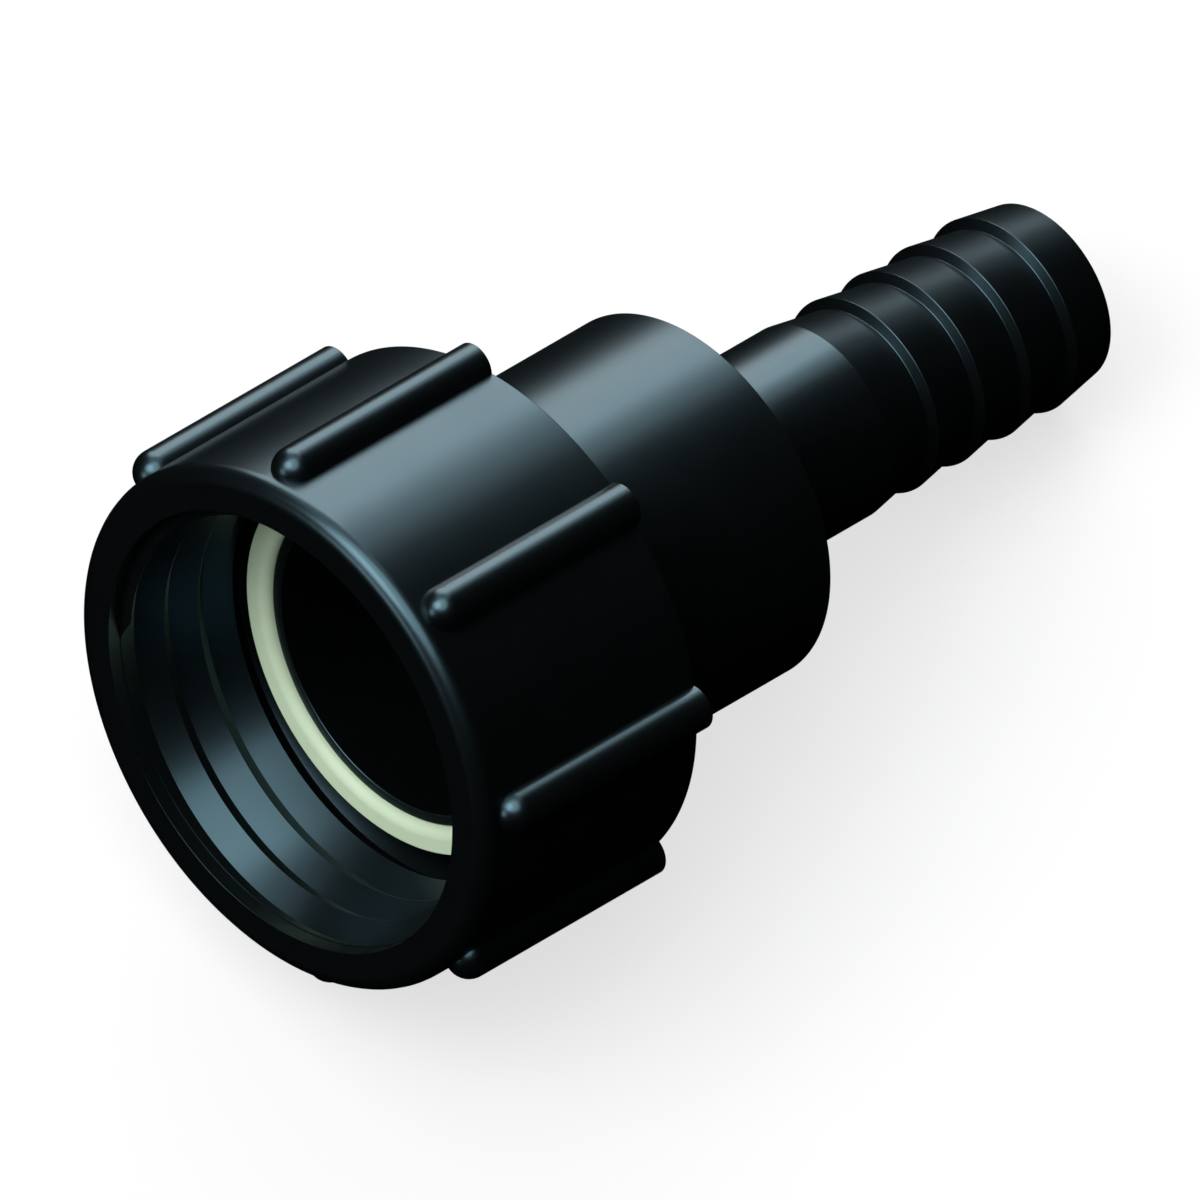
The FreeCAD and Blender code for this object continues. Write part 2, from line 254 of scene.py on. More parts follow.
def draw_outline(name, chains):
    """A mesh of edges. Each chain is (corners, closed), each corner (radius, height, rounding, mark)."""
    mesh = bpy.data.meshes.new(name)
    corners = []
    edges = []
    for points, closed in chains:
        first = len(corners)
        corners += points
        edges += [(index, index + 1) for index in range(first, len(corners) - 1)]
        if closed:
            edges.append((len(corners) - 1, first))
    mesh.from_pydata([(corner[0], 0, corner[1]) for corner in corners], edges, [])
    for column, label in ((2, "rounding"), (3, "mark")):
        layer = mesh.attributes.new(label, "FLOAT", "POINT")
        layer.data.foreach_set("value", [float(corner[column]) for corner in corners])
    outline = bpy.data.objects.new(name, mesh)
    bpy.context.scene.collection.objects.link(outline)
    return outline


def new_tree(name, sizes, keys):
    """A geometry tree that takes an outline, a material and the named sizes of a group."""
    tree = bpy.data.node_groups.new(name, "GeometryNodeTree")
    tree.interface.new_socket("Outline", in_out="INPUT", socket_type="NodeSocketGeometry")
    for key in keys:
        prop = sizes.bl_rna.properties[key]
        kind = "NodeSocketInt" if prop.type == "INT" else "NodeSocketFloat"
        socket = tree.interface.new_socket(prop.name, in_out="INPUT", socket_type=kind)
        if prop.type == "FLOAT":
            socket.subtype = "DISTANCE"
        socket.default_value = getattr(sizes, key)
    tree.interface.new_socket("Material", in_out="INPUT", socket_type="NodeSocketMaterial")
    tree.interface.new_socket("Geometry", in_out="OUTPUT", socket_type="NodeSocketGeometry")
    return tree


def turned_group():
    """The group that turns an outline round the upright axis, from one end of a full turn to the
    other. It leaves the seam open, so that a thread can step on by one pitch there."""
    if "Turned from outline" in bpy.data.node_groups:
        return bpy.data.node_groups["Turned from outline"]
    tree = bpy.data.node_groups.new("Turned from outline", "GeometryNodeTree")
    for name, way, kind in (
        ("Outline", "INPUT", "NodeSocketGeometry"),
        ("Columns", "INPUT", "NodeSocketInt"),
        ("Arc points", "INPUT", "NodeSocketInt"),
        ("Mesh", "OUTPUT", "NodeSocketGeometry"),
        ("Place", "OUTPUT", "NodeSocketVector"),
        ("Turn", "OUTPUT", "NodeSocketFloat"),
    ):
        tree.interface.new_socket(name, in_out=way, socket_type=kind)
    given = add_node(tree, "NodeGroupInput").outputs
    rounding = add_node(tree, "GeometryNodeInputNamedAttribute", {"Name": "rounding"}, data_type="FLOAT")
    line = add_node(tree, "GeometryNodeMeshToCurve", {"Mesh": given["Outline"]})
    rounded = add_node(tree, "GeometryNodeFilletCurve", {
        "Curve": line.outputs[0], "Radius": rounding.outputs[0], "Count": given["Arc points"],
        "Limit Radius": True,
    }, mode="POLY")
    place = add_node(tree, "GeometryNodeStoreNamedAttribute", {
        "Geometry": rounded.outputs[0], "Name": "place",
        "Value": add_node(tree, "GeometryNodeInputPosition").outputs[0],
    }, data_type="FLOAT_VECTOR", domain="POINT")
    points = add_node(tree, "ShaderNodeMath", {0: given["Columns"], 1: 1.0}, operation="ADD")
    carrier = add_node(tree, "GeometryNodeCurveArc", {
        "Resolution": points.outputs[0], "Radius": CARRIER_RADIUS, "Start Angle": 0.0,
        "Sweep Angle": CARRIER_SWEEP,
    }, mode="RADIUS")
    along = add_node(tree, "ShaderNodeMath", {
        0: add_node(tree, "GeometryNodeSplineParameter").outputs["Factor"], 1: math.tau,
    }, operation="MULTIPLY")
    turn = add_node(tree, "GeometryNodeStoreNamedAttribute", {
        "Geometry": carrier.outputs[0], "Name": "turn", "Value": along.outputs[0],
    }, data_type="FLOAT", domain="POINT")
    skin = add_node(tree, "GeometryNodeCurveToMesh", {
        "Curve": turn.outputs[0], "Profile Curve": place.outputs[0],
    })
    where = add_node(tree, "GeometryNodeInputNamedAttribute", {"Name": "place"}, data_type="FLOAT_VECTOR")
    angle = add_node(tree, "GeometryNodeInputNamedAttribute", {"Name": "turn"}, data_type="FLOAT")
    parts = add_node(tree, "ShaderNodeSeparateXYZ", {0: where.outputs[0]})
    swung = add_node(tree, "GeometryNodeSetPosition", {
        "Geometry": skin.outputs[0],
        "Position": polar_point(tree, parts.outputs[0], parts.outputs[2], angle.outputs[0]),
    })
    add_node(tree, "NodeGroupOutput", {
        "Mesh": swung.outputs[0], "Place": where.outputs[0], "Turn": angle.outputs[0],
    })
    return tree


def polar_point(tree, radius, height, angle):
    """The point at that radius, height and angle round the upright axis."""
    cosine = add_node(tree, "ShaderNodeMath", {0: angle}, operation="COSINE")
    sine = add_node(tree, "ShaderNodeMath", {0: angle}, operation="SINE")
    across = add_node(tree, "ShaderNodeMath", {0: radius, 1: cosine.outputs[0]}, operation="MULTIPLY")
    along = add_node(tree, "ShaderNodeMath", {0: radius, 1: sine.outputs[0]}, operation="MULTIPLY")
    return add_node(tree, "ShaderNodeCombineXYZ", {
        0: across.outputs[0], 1: along.outputs[0], 2: height,
    }).outputs[0]


def finish_tree(tree, geometry, material):
    """Ends a tree: corners stay sharp, the rest is smooth, and instances are made real."""
    rounded = add_node(tree, "FunctionNodeCompare", {
        "A": add_node(tree, "GeometryNodeInputMeshEdgeAngle").outputs["Unsigned Angle"],
        "B": math.radians(SMOOTH_BELOW_DEG),
    }, data_type="FLOAT", operation="LESS_THAN")
    faces = add_node(tree, "GeometryNodeSetShadeSmooth", {
        "Geometry": geometry, "Shade Smooth": True,
    }, domain="FACE")
    edges = add_node(tree, "GeometryNodeSetShadeSmooth", {
        "Geometry": faces.outputs[0], "Shade Smooth": rounded.outputs[0],
    }, domain="EDGE")
    real = add_node(tree, "GeometryNodeRealizeInstances", {"Geometry": edges.outputs[0]})
    painted = add_node(tree, "GeometryNodeSetMaterial", {
        "Geometry": real.outputs[0], "Material": material,
    })
    add_node(tree, "NodeGroupOutput", {"Geometry": painted.outputs[0]})


def bake_piece(outline, tree, values, name):
    """Runs the tree on the outline and lays the result down as a plain mesh of its own."""
    modifier = outline.modifiers.new(tree.name, "NODES")
    modifier.node_group = tree
    for item in tree.interface.items_tree:
        if item.item_type == "SOCKET" and item.in_out == "INPUT" and item.name in values:
            modifier[item.identifier] = values[item.name]
    # A rounding at an edge is narrow beside the faces it joins, which must shade as if alone.
    shading = outline.modifiers.new("Large faces first", "WEIGHTED_NORMAL")
    shading.mode = "FACE_AREA"
    shading.keep_sharp = True
    graph = bpy.context.evaluated_depsgraph_get()
    mesh = bpy.data.meshes.new_from_object(outline.evaluated_get(graph), depsgraph=graph)
    outline.modifiers.remove(shading)
    outline.modifiers.remove(modifier)
    bpy.data.objects.remove(outline)
    mesh.name = name
    mesh.transform(LAID_DOWN)
    for label in ("rounding", "mark", "place", "turn"):
        if label in mesh.attributes:
            mesh.attributes.remove(mesh.attributes[label])
    piece = bpy.data.objects.new(name, mesh)
    bpy.context.scene.collection.objects.link(piece)
    return piece


def tree_values(sizes, keys, material):
    """What the inputs of a piece's tree are set to."""
    values = {sizes.bl_rna.properties[key].name: getattr(sizes, key) for key in keys}
    values["Material"] = material
    return values


def nut_chains(nut):
    """The nut's outline with the rows of its thread, and the outline of one rib."""
    edge = nut.edge_round
    seat = nut.length - nut.rear_wall
    # The thread's rows stand where each feature of the groove is at the start of a turn. The
    # tree lifts them by one pitch in a full turn and holds them between recess and thread end.
    gentle_start = nut.thread_pitch - nut.thread_flat - nut.thread_flank
    features = [0, nut.thread_lean, gentle_start / 2, gentle_start]
    features += [
        gentle_start + nut.thread_flank * step / FLANK_ROWS for step in range(1, FLANK_ROWS + 1)
    ]
    turns = math.ceil((nut.thread_end + nut.thread_lead_in) / nut.thread_pitch) + 1
    heights = [
        turn * nut.thread_pitch + feature - nut.thread_lead_in
        for turn in range(turns) for feature in features
    ]
    ring = [
        (nut.recess_radius, 0, nut.mouth_round, 0),
        (nut.radius, 0, nut.front_round, 0),
        (nut.radius, nut.length, edge, 0),
        (nut.rear_hole, nut.length, edge, 0),
        (nut.rear_hole, seat, edge, 0),
        (nut.thread_crest, seat, 0, 0),
        (nut.thread_crest, nut.thread_end, 0, 0),
    ]
    ring += [(nut.thread_crest, height, 0, THREAD_MARK) for height in reversed(heights)]
    ring.append((nut.recess_radius, nut.recess_depth, 0, 0))
    ball_front = nut.rib_setback - nut.rib_radius
    rib_rear = nut.length - FLUSH_STEP
    rib = [
        (0, ball_front, 0, RIB_MARK),
        (nut.rib_radius, ball_front, nut.rib_radius, RIB_MARK),
        (nut.rib_radius, rib_rear, edge, RIB_MARK),
        (0, rib_rear, 0, RIB_MARK),
    ]
    return [(ring, True), (rib, False)]


NUT_KEYS = (
    "radius", "rib_count", "recess_depth", "thread_crest", "thread_depth", "thread_pitch",
    "thread_lead_in", "thread_flat", "thread_flank", "thread_lean", "thread_end", "columns",
)


def nut_tree(nut):
    """Turns the nut, follows the thread's rule on the marked rows and joins the ribs on."""
    tree = new_tree("Union nut", nut, NUT_KEYS)
    given = add_node(tree, "NodeGroupInput").outputs
    mark = add_node(tree, "GeometryNodeInputNamedAttribute", {"Name": "mark"}, data_type="FLOAT")
    # Marks are whole numbers, so a value midway between two of them tells them apart.
    is_rib = add_node(tree, "FunctionNodeCompare", {
        "A": mark.outputs[0], "B": (THREAD_MARK + RIB_MARK) / 2,
    }, data_type="FLOAT", operation="GREATER_THAN")
    split = add_node(tree, "GeometryNodeSeparateGeometry", {
        "Geometry": given["Outline"], "Selection": is_rib.outputs[0],
    }, domain="POINT")

    ring = add_node(tree, "GeometryNodeGroup", {
        "Outline": split.outputs["Inverted"], "Columns": given["Columns"],
        "Arc points": NUT_ARC_POINTS,
    }, node_tree=turned_group())

    # The thread rises by one pitch in a full turn. A point's height in the groove, counted from
    # the crest in front of it, gives its share of the groove's depth: none at a crest, all of it
    # at the root.
    share_of_turn = add_node(tree, "ShaderNodeMath", {
        0: ring.outputs["Turn"], 1: math.tau,
    }, operation="DIVIDE").outputs[0]
    lift = add_node(tree, "ShaderNodeMath", {
        0: share_of_turn, 1: given["Thread pitch"],
    }, operation="MULTIPLY").outputs[0]
    drawn = add_node(tree, "ShaderNodeSeparateXYZ", {0: ring.outputs["Place"]}).outputs[2]
    lifted = add_node(tree, "ShaderNodeMath", {0: drawn, 1: lift}, operation="ADD").outputs[0]
    height = add_node(tree, "ShaderNodeClamp", {
        "Value": lifted, "Min": given["Recess depth"], "Max": given["Thread end"],
    }).outputs[0]
    from_lead = add_node(tree, "ShaderNodeMath", {
        0: height, 1: given["Lead-in"],
    }, operation="ADD").outputs[0]
    from_groove = add_node(tree, "ShaderNodeMath", {
        0: from_lead, 1: lift,
    }, operation="SUBTRACT").outputs[0]
    in_groove = add_node(tree, "ShaderNodeMath", {
        0: from_groove, 1: given["Thread pitch"],
    }, operation="FLOORED_MODULO").outputs[0]
    steep = add_node(tree, "ShaderNodeMath", {
        0: in_groove, 1: given["Load lean"],
    }, operation="DIVIDE", use_clamp=True).outputs[0]
    crest_start = add_node(tree, "ShaderNodeMath", {
        0: given["Thread pitch"], 1: given["Crest flat"],
    }, operation="SUBTRACT").outputs[0]
    to_crest = add_node(tree, "ShaderNodeMath", {
        0: crest_start, 1: in_groove,
    }, operation="SUBTRACT").outputs[0]
    gentle = add_node(tree, "ShaderNodeMath", {
        0: to_crest, 1: given["Flank run"],
    }, operation="DIVIDE", use_clamp=True).outputs[0]
    share = add_node(tree, "ShaderNodeMath", {0: steep, 1: gentle}, operation="MINIMUM").outputs[0]
    radius = add_node(tree, "ShaderNodeMath", {
        0: share, 1: given["Thread depth"], 2: given["Thread crest"],
    }, operation="MULTIPLY_ADD").outputs[0]
    is_thread = add_node(tree, "FunctionNodeCompare", {
        "A": mark.outputs[0], "B": THREAD_MARK / 2,
    }, data_type="FLOAT", operation="GREATER_THAN")
    threaded = add_node(tree, "GeometryNodeSetPosition", {
        "Geometry": ring.outputs["Mesh"], "Selection": is_thread.outputs[0],
        "Position": polar_point(tree, radius, height, ring.outputs["Turn"]),
    })
    body = add_node(tree, "GeometryNodeMergeByDistance", {
        "Geometry": threaded.outputs[0], "Distance": SAME_POINT,
    })

    bar = add_node(tree, "GeometryNodeGroup", {
        "Outline": split.outputs["Selection"], "Columns": RIB_COLUMNS,
        "Arc points": RIB_ARC_POINTS,
    }, node_tree=turned_group())
    rib = add_node(tree, "GeometryNodeMergeByDistance", {
        "Geometry": bar.outputs["Mesh"], "Distance": SAME_POINT,
    })
    seats = add_node(tree, "GeometryNodeMeshCircle", {
        "Vertices": given["Ribs"], "Radius": given["Radius"],
    }, fill_type="NONE")
    placed = add_node(tree, "GeometryNodeInstanceOnPoints", {
        "Points": seats.outputs[0], "Instance": rib.outputs[0],
    })
    ribs = add_node(tree, "GeometryNodeRealizeInstances", {"Geometry": placed.outputs[0]})
    joined = add_node(tree, "GeometryNodeMeshBoolean", operation="UNION", solver="EXACT")
    operands = next(s for s in joined.inputs if s.name == "Mesh" and s.is_multi_input)
    tree.links.new(body.outputs[0], operands)
    tree.links.new(ribs.outputs[0], operands)
    finish_tree(tree, joined.outputs[0], given["Material"])
    return tree


def tail_chains(tail):
    """The tail's outline from the foot of the barbs round to the tip, without the barbs."""
    edge = tail.edge_round
    neck_end = tail.collar_end + tail.neck_length
    end = neck_end + tail.barb_pitch * (tail.barb_count - 1) + tail.tip_length
    wall = tail.collar_end - tail.end_wall
    return [([
        (tail.neck_radius, neck_end, edge, 0),
        (tail.neck_radius, tail.collar_end, edge, 0),
        (tail.collar_radius, tail.collar_end, edge, 0),
        (tail.collar_radius, tail.flange_rear, edge, 0),
        (tail.flange_radius, tail.flange_rear, edge, 0),
        (tail.flange_radius, tail.flange_front, edge, 0),
        (tail.boss_radius, tail.flange_front, edge, 0),
        (tail.boss_radius, tail.boss_front, edge, 0),
        (tail.lip_radius, tail.boss_front, edge, 0),
        (tail.lip_radius, tail.lip_front, edge, 0),
        (tail.collar_bore, tail.lip_front, edge, 0),
        (tail.collar_bore, wall, tail.corner_round, 0),
        (tail.bore_radius + tail.bore_entry, wall, edge, 0),
        (tail.bore_radius, wall + tail.bore_entry, edge, 0),
        (tail.bore_radius, end, edge, 0),
        (tail.tip_radius, end, edge, 0),
    ], False)]


TAIL_KEYS = (
    "collar_end", "neck_radius", "neck_length", "barb_count", "barb_pitch", "barb_height",
    "barb_shoulder", "tip_length", "tip_radius", "edge_round", "columns",
)


def tail_tree(tail):
    """Draws the barbs by their rule, closes them with the outline and turns the whole tube."""
    tree = new_tree("Hose tail", tail, TAIL_KEYS)
    given = add_node(tree, "NodeGroupInput").outputs
    doubled = add_node(tree, "ShaderNodeMath", {0: given["Barbs"], 1: 2.0}, operation="MULTIPLY")
    line = add_node(tree, "GeometryNodeMeshLine", {"Count": doubled.outputs[0]}, mode="OFFSET")
    number = add_node(tree, "GeometryNodeInputIndex").outputs[0]
    half = add_node(tree, "ShaderNodeMath", {0: number, 1: 2.0}, operation="DIVIDE").outputs[0]
    cone = add_node(tree, "ShaderNodeMath", {0: half}, operation="FLOOR").outputs[0]
    foot = add_node(tree, "ShaderNodeMath", {0: number, 1: 2.0}, operation="MODULO").outputs[0]
    last = add_node(tree, "ShaderNodeMath", {0: doubled.outputs[0], 1: 1.0}, operation="SUBTRACT")
    is_tip = add_node(tree, "FunctionNodeCompare", {
        "A": number, "B": last.outputs[0], "Epsilon": 0.5,
    }, data_type="FLOAT", operation="EQUAL").outputs[0]

    # A cone runs from its crest to its foot. The foot of every cone but the last is at the
    # valley, one shoulder short of the next crest, and the last cone's is the tip.
    to_valley = add_node(tree, "ShaderNodeMath", {
        0: given["Barb pitch"], 1: given["Barb shoulder"],
    }, operation="SUBTRACT").outputs[0]
    run = add_node(tree, "GeometryNodeSwitch", {
        "Switch": is_tip, "False": to_valley, "True": given["Tip length"],
    }, input_type="FLOAT").outputs[0]
    valley = add_node(tree, "ShaderNodeMath", {
        0: given["Neck radius"], 1: given["Barb height"],
    }, operation="SUBTRACT").outputs[0]
    foot_radius = add_node(tree, "GeometryNodeSwitch", {
        "Switch": is_tip, "False": valley, "True": given["Tip radius"],
    }, input_type="FLOAT").outputs[0]
    start = add_node(tree, "ShaderNodeMath", {
        0: given["Collar end"], 1: given["Neck length"],
    }, operation="ADD").outputs[0]
    crest_height = add_node(tree, "ShaderNodeMath", {
        0: cone, 1: given["Barb pitch"], 2: start,
    }, operation="MULTIPLY_ADD").outputs[0]
    height = add_node(tree, "ShaderNodeMath", {
        0: foot, 1: run, 2: crest_height,
    }, operation="MULTIPLY_ADD").outputs[0]
    drop = add_node(tree, "ShaderNodeMath", {
        0: foot_radius, 1: given["Neck radius"],
    }, operation="SUBTRACT").outputs[0]
    radius = add_node(tree, "ShaderNodeMath", {
        0: foot, 1: drop, 2: given["Neck radius"],
    }, operation="MULTIPLY_ADD").outputs[0]
    zigzag = add_node(tree, "GeometryNodeSetPosition", {
        "Geometry": line.outputs[0],
        "Position": add_node(tree, "ShaderNodeCombineXYZ", {0: radius, 1: 0.0, 2: height}).outputs[0],
    })
    rounded = add_node(tree, "GeometryNodeStoreNamedAttribute", {
        "Geometry": zigzag.outputs[0], "Name": "rounding", "Value": given["Edge rounding"],
    }, data_type="FLOAT", domain="POINT")
    both = add_node(tree, "GeometryNodeJoinGeometry")
    tree.links.new(given["Outline"], both.inputs[0])
    tree.links.new(rounded.outputs[0], both.inputs[0])
    whole = add_node(tree, "GeometryNodeMergeByDistance", {
        "Geometry": both.outputs[0], "Distance": SAME_POINT,
    })
    turned = add_node(tree, "GeometryNodeGroup", {
        "Outline": whole.outputs[0], "Columns": given["Columns"], "Arc points": TAIL_ARC_POINTS,
    }, node_tree=turned_group())
    closed = add_node(tree, "GeometryNodeMergeByDistance", {
        "Geometry": turned.outputs["Mesh"], "Distance": SAME_POINT,
    })
    finish_tree(tree, closed.outputs[0], given["Material"])
    return tree


def gasket_tree(gasket):
    """Turns the gasket's outline."""
    tree = new_tree("Flat gasket", gasket, ("columns",))
    given = add_node(tree, "NodeGroupInput").outputs
    turned = add_node(tree, "GeometryNodeGroup", {
        "Outline": given["Outline"], "Columns": given["Columns"], "Arc points": GASKET_ARC_POINTS,
    }, node_tree=turned_group())
    closed = add_node(tree, "GeometryNodeMergeByDistance", {
        "Geometry": turned.outputs["Mesh"], "Distance": SAME_POINT,
    })
    finish_tree(tree, closed.outputs[0], given["Material"])
    return tree


def per_mm(width):
    """The scale of a noise whose features are about that many millimetres wide."""
    return 1 / (width * MM)


def empty_material(name):
    """A node material with nothing in its tree yet."""
    material = bpy.data.materials.new(name)
    material.use_nodes = True
    material.node_tree.nodes.clear()
    return material


def moulded_polypropylene(name, finishes, shift):
    """Injection-moulded polypropylene, coloured through with carbon black. The mould was fine
    blasted, so it has no mirror gloss: highlights are soft and broad, with a faint grain in
    them, and everything out of the lamps' way goes to a deep black. The shift moves the
    pattern, so that no two mouldings have the same one."""
    material = empty_material(name)
    tree = material.node_tree
    place = add_node(tree, "ShaderNodeMapping", {
        "Vector": add_node(tree, "ShaderNodeTexCoord").outputs["Object"], "Location": shift,
    }).outputs[0]
    # Pigment streaks of a melt are some millimetres wide and hardly differ.
    streaks = add_node(tree, "ShaderNodeTexNoise", {
        "Vector": place, "Scale": per_mm(5.0), "Detail": 3.0, "Roughness": 0.6,
    })
    colour = add_node(tree, "ShaderNodeMix", {
        "Factor": streaks.outputs[0],
        "A": linear(finishes.plastic_dark), "B": linear(finishes.plastic_light),
    }, data_type="RGBA")
    # A blasted mould's grain is about 0.05 mm, too fine to show here. It is drawn at 0.4 mm,
    # which is about three points of the picture.
    grain = add_node(tree, "ShaderNodeTexNoise", {
        "Vector": place, "Scale": per_mm(0.4), "Detail": 2.0, "Roughness": 0.5,
    })
    bump = add_node(tree, "ShaderNodeBump", {
        "Strength": 0.25, "Distance": 0.01 * MM, "Height": grain.outputs[0],
    })
    # Flow marks change the gloss a little over about a centimetre.
    flow = add_node(tree, "ShaderNodeTexNoise", {
        "Vector": place, "Scale": per_mm(9.0), "Detail": 2.0, "Roughness": 0.5,
    })
    roughness = add_node(tree, "ShaderNodeMapRange", {
        "Value": flow.outputs[0], "From Min": 0.3, "From Max": 0.7, "To Min": 0.29, "To Max": 0.31,
    })
    shader = add_node(tree, "ShaderNodeBsdfPrincipled", {
        "Base Color": colour.outputs[2], "Roughness": roughness.outputs[0], "IOR": 1.65,
        "Specular Tint": linear(finishes.plastic_gloss), "Normal": bump.outputs[0],
    })
    add_node(tree, "ShaderNodeOutputMaterial", {"Surface": shader.outputs[0]})
    return material


def pale_rubber(name, finishes):
    """Compression-moulded thermoplastic rubber, cut clean of its flash. It scatters light just
    under the skin, so it looks soft and even, with a weak wide sheen and a fine powdery grain."""
    material = empty_material(name)
    tree = material.node_tree
    place = add_node(tree, "ShaderNodeTexCoord").outputs["Object"]
    # Filler clouds in the compound are a few millimetres wide.
    clouds = add_node(tree, "ShaderNodeTexNoise", {
        "Vector": place, "Scale": per_mm(3.0), "Detail": 3.0, "Roughness": 0.55,
    })
    colour = add_node(tree, "ShaderNodeMix", {
        "Factor": clouds.outputs[0],
        "A": linear(finishes.rubber_dark), "B": linear(finishes.rubber_light),
    }, data_type="RGBA")
    # Talc on the skin, drawn at 0.3 mm so that it shows.
    powder = add_node(tree, "ShaderNodeTexNoise", {
        "Vector": place, "Scale": per_mm(0.3), "Detail": 2.0, "Roughness": 0.5,
    })
    bump = add_node(tree, "ShaderNodeBump", {
        "Strength": 0.3, "Distance": 0.01 * MM, "Height": powder.outputs[0],
    })
    roughness = add_node(tree, "ShaderNodeMapRange", {
        "Value": clouds.outputs[0], "From Min": 0.3, "From Max": 0.7, "To Min": 0.5, "To Max": 0.58,
    })
    shader = add_node(tree, "ShaderNodeBsdfPrincipled", {
        "Base Color": colour.outputs[2], "Roughness": roughness.outputs[0], "IOR": 1.5,
        "Normal": bump.outputs[0],
    })
    add_node(tree, "ShaderNodeOutputMaterial", {"Surface": shader.outputs[0]})
    return material


class FITTING_OT_union_nut(bpy.types.Operator):
    """Builds the union nut with its ribs and its thread"""

    bl_idname = "fitting.union_nut"
    bl_label = "Union nut"

    def execute(self, context):
        nut = context.scene.fitting_nut
        finish = moulded_polypropylene(
            "Black polypropylene, union nut", context.scene.fitting_finishes, (0.0, 0.0, 0.0))
        outline = draw_outline("Nut outline", nut_chains(nut))
        piece = bake_piece(outline, nut_tree(nut), tree_values(nut, NUT_KEYS, finish), "Union nut")
        piece.name = "Union_nut"
        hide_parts("union_nut")
        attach(piece, "nut")
        return {"FINISHED"}


class FITTING_OT_hose_tail(bpy.types.Operator):
    """Builds the hose tail with its collar, neck and barbs"""

    bl_idname = "fitting.hose_tail"
    bl_label = "Hose tail"

    def execute(self, context):
        tail = context.scene.fitting_tail
        finish = moulded_polypropylene(
            "Black polypropylene, hose tail", context.scene.fitting_finishes, (0.31, 0.17, 0.23))
        outline = draw_outline("Tail outline", tail_chains(tail))
        piece = bake_piece(outline, tail_tree(tail), tree_values(tail, TAIL_KEYS, finish), "Hose tail")
        piece.name = "Hose_tail"
        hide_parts("hose_tail")
        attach(piece, "tail")
        return {"FINISHED"}


class FITTING_OT_flat_gasket(bpy.types.Operator):
    """Builds the flat gasket"""

    bl_idname = "fitting.flat_gasket"
    bl_label = "Flat gasket"

    def execute(self, context):
        gasket = context.scene.fitting_gasket
        boss_front = context.scene.fitting_tail.boss_front
        front = boss_front - gasket.thickness
        finish = pale_rubber("Pale thermoplastic rubber, gasket", context.scene.fitting_finishes)
        outline = draw_outline("Gasket outline", [([
            (gasket.inner_radius, front, gasket.inner_round, 0),
            (gasket.outer_radius, front, gasket.outer_round, 0),
            (gasket.outer_radius, boss_front, 0, 0),
            (gasket.inner_radius, boss_front, 0, 0),
        ], True)])
        values = tree_values(gasket, ("columns",), finish)
        piece = bake_piece(outline, gasket_tree(gasket), values, "Flat gasket")
        piece.name = "Flat_gasket"
        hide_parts("flat_gasket")
        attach(piece, "tail")
        return {"FINISHED"}


def white_floor(finishes):
    """White card that keeps the fitting's shadow. Only the camera sees it bright, so that the
    black plastic has no white under it to mirror."""
    material = empty_material("White card floor")
    tree = material.node_tree
    path = add_node(tree, "ShaderNodeLightPath")
    card = add_node(tree, "ShaderNodeBsdfDiffuse", {"Color": linear(finishes.floor)})
    glow = add_node(tree, "ShaderNodeEmission", {"Color": (1, 1, 1, 1), "Strength": FLOOR_GLOW})
    shown = add_node(tree, "ShaderNodeAddShader", {0: card.outputs[0], 1: glow.outputs[0]})
    bounce = add_node(tree, "ShaderNodeBsdfDiffuse", {"Color": linear(finishes.floor_bounce)})
    dark = add_node(tree, "ShaderNodeBsdfDiffuse", {"Color": (0, 0, 0, 1)})
    unseen = add_node(tree, "ShaderNodeMixShader", {
        0: path.outputs["Is Glossy Ray"], 1: bounce.outputs[0], 2: dark.outputs[0],
    })
    mixed = add_node(tree, "ShaderNodeMixShader", {
        0: path.outputs["Is Camera Ray"], 1: unseen.outputs[0], 2: shown.outputs[0],
    })
    add_node(tree, "ShaderNodeOutputMaterial", {"Surface": mixed.outputs[0]})
    return material


def lay_floor(scene):
    """The floor that the fitting lies on."""
    reach = FLOOR_REACH
    mesh = bpy.data.meshes.new("Floor")
    mesh.from_pydata(
        [(-reach, -reach, 0), (reach, -reach, 0), (reach, reach, 0), (-reach, reach, 0)],
        [], [(0, 1, 2, 3)])
    mesh.materials.append(white_floor(scene.fitting_finishes))
    floor = bpy.data.objects.new("Floor", mesh)
    scene.collection.objects.link(floor)


def light_studio(scene):
    """The sky, which the camera sees white, and the lamps."""
    sky = linear(scene.fitting_finishes.sky)
    world = bpy.data.worlds.new("Studio")
    world.use_nodes = True
    tree = world.node_tree
    tree.nodes.clear()
    path = add_node(tree, "ShaderNodeLightPath")
    white = add_node(tree, "ShaderNodeBackground", {"Color": (1, 1, 1, 1), "Strength": 1.0})
    soft = add_node(tree, "ShaderNodeBackground", {"Color": sky, "Strength": SKY_STRENGTH})
    dim = add_node(tree, "ShaderNodeBackground", {"Color": sky, "Strength": SKY_IN_GLOSS})
    lit = add_node(tree, "ShaderNodeMixShader", {
        0: path.outputs["Is Glossy Ray"], 1: soft.outputs[0], 2: dim.outputs[0],
    })
    shown = add_node(tree, "ShaderNodeMixShader", {
        0: path.outputs["Is Camera Ray"], 1: lit.outputs[0], 2: white.outputs[0],
    })
    add_node(tree, "ShaderNodeOutputWorld", {"Surface": shown.outputs[0]})
    scene.world = world

    for name, towards, strength, spread in LAMPS:
        lamp = bpy.data.lights.new(name, "SUN")
        lamp.energy = strength
        lamp.angle = math.radians(spread)
        holder = bpy.data.objects.new(name, lamp)
        holder.rotation_euler = Vector(towards).to_track_quat("Z", "Y").to_euler()
        scene.collection.objects.link(holder)


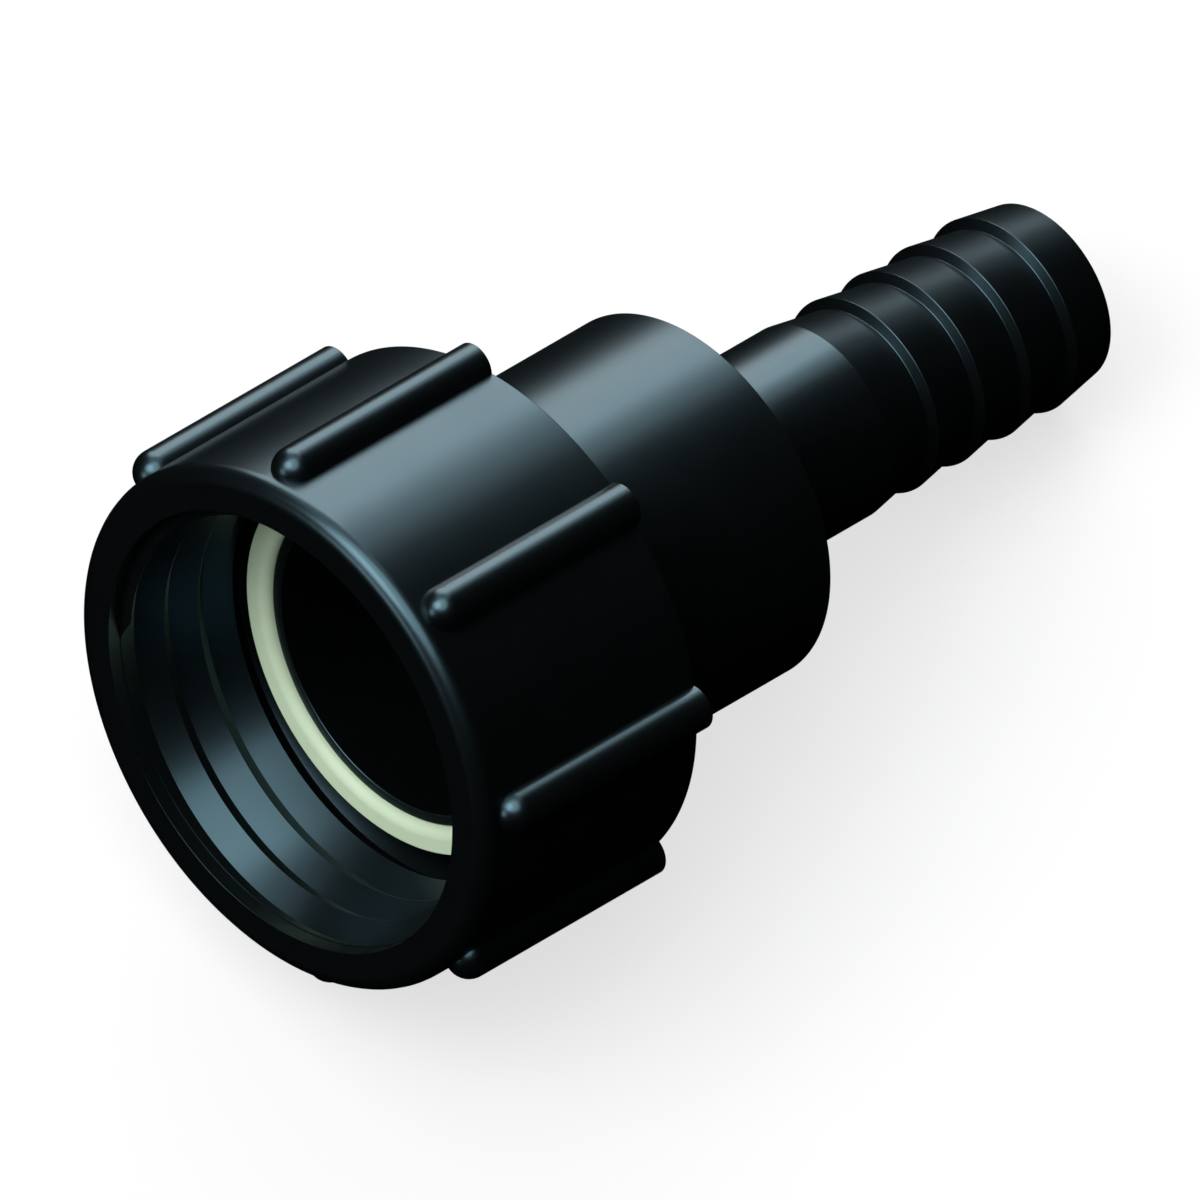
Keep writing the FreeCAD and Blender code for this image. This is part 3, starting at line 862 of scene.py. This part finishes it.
def set_camera(scene):
    """The camera at the picture's viewing angle."""
    lens = bpy.data.cameras.new("Camera")
    lens.type = "ORTHO"
    lens.ortho_scale = FRAME_WIDTH
    lens.clip_start = NEAREST_SEEN
    lens.clip_end = FARTHEST_SEEN
    camera = bpy.data.objects.new("Camera", lens)
    back = VIEW_FROM.normalized()
    across = VIEW_RIGHT.normalized()
    upward = back.cross(across)
    turn = Matrix((across, upward, back)).transposed().to_4x4()
    camera.matrix_world = Matrix.Translation(VIEW_CENTRE + back * CAMERA_DISTANCE) @ turn
    scene.collection.objects.link(camera)
    scene.camera = camera


class FITTING_OT_stage(bpy.types.Operator):
    """Sets up the floor, the lamps, the world and the camera"""

    bl_idname = "fitting.stage"
    bl_label = "Stage"

    def execute(self, context):
        context.scene.view_settings.view_transform = "Standard"
        lay_floor(context.scene)
        light_studio(context.scene)
        set_camera(context.scene)
        return {"FINISHED"}


class FITTING_PT_panel(bpy.types.Panel):
    """Lists the steps that build the fitting, with their sizes"""

    bl_label = "Hose barb fitting"
    bl_idname = "FITTING_PT_panel"
    bl_space_type = "VIEW_3D"
    bl_region_type = "UI"
    bl_category = "Fitting"

    def draw(self, context):
        for operator, store in STEPS:
            box = self.layout.box()
            box.operator(operator)
            group = getattr(context.scene, store)
            for key in group.__annotations__:
                box.prop(group, key)


STEPS = (
    ("fitting.union_nut", "fitting_nut"),
    ("fitting.hose_tail", "fitting_tail"),
    ("fitting.flat_gasket", "fitting_gasket"),
    ("fitting.stage", "fitting_finishes"),
)

GROUPS = {
    "fitting_nut": NutSizes,
    "fitting_tail": TailSizes,
    "fitting_gasket": GasketSizes,
    "fitting_finishes": Finishes,
}

CLASSES = (
    NutSizes, TailSizes, GasketSizes, Finishes, FITTING_OT_union_nut, FITTING_OT_hose_tail,
    FITTING_OT_flat_gasket, FITTING_OT_stage, FITTING_PT_panel,
)


def register():
    for kind in CLASSES:
        bpy.utils.register_class(kind)
    for store, group in GROUPS.items():
        setattr(bpy.types.Scene, store, bpy.props.PointerProperty(type=group))


def unregister():
    for store in GROUPS:
        delattr(bpy.types.Scene, store)
    for kind in reversed(CLASSES):
        bpy.utils.unregister_class(kind)


def main():
    register()
    bpy.ops.fitting.union_nut()
    bpy.ops.fitting.hose_tail()
    bpy.ops.fitting.flat_gasket()
    bpy.ops.fitting.stage()
    bpy.context.view_layer.update()


if __name__ == "__main__":
    main()
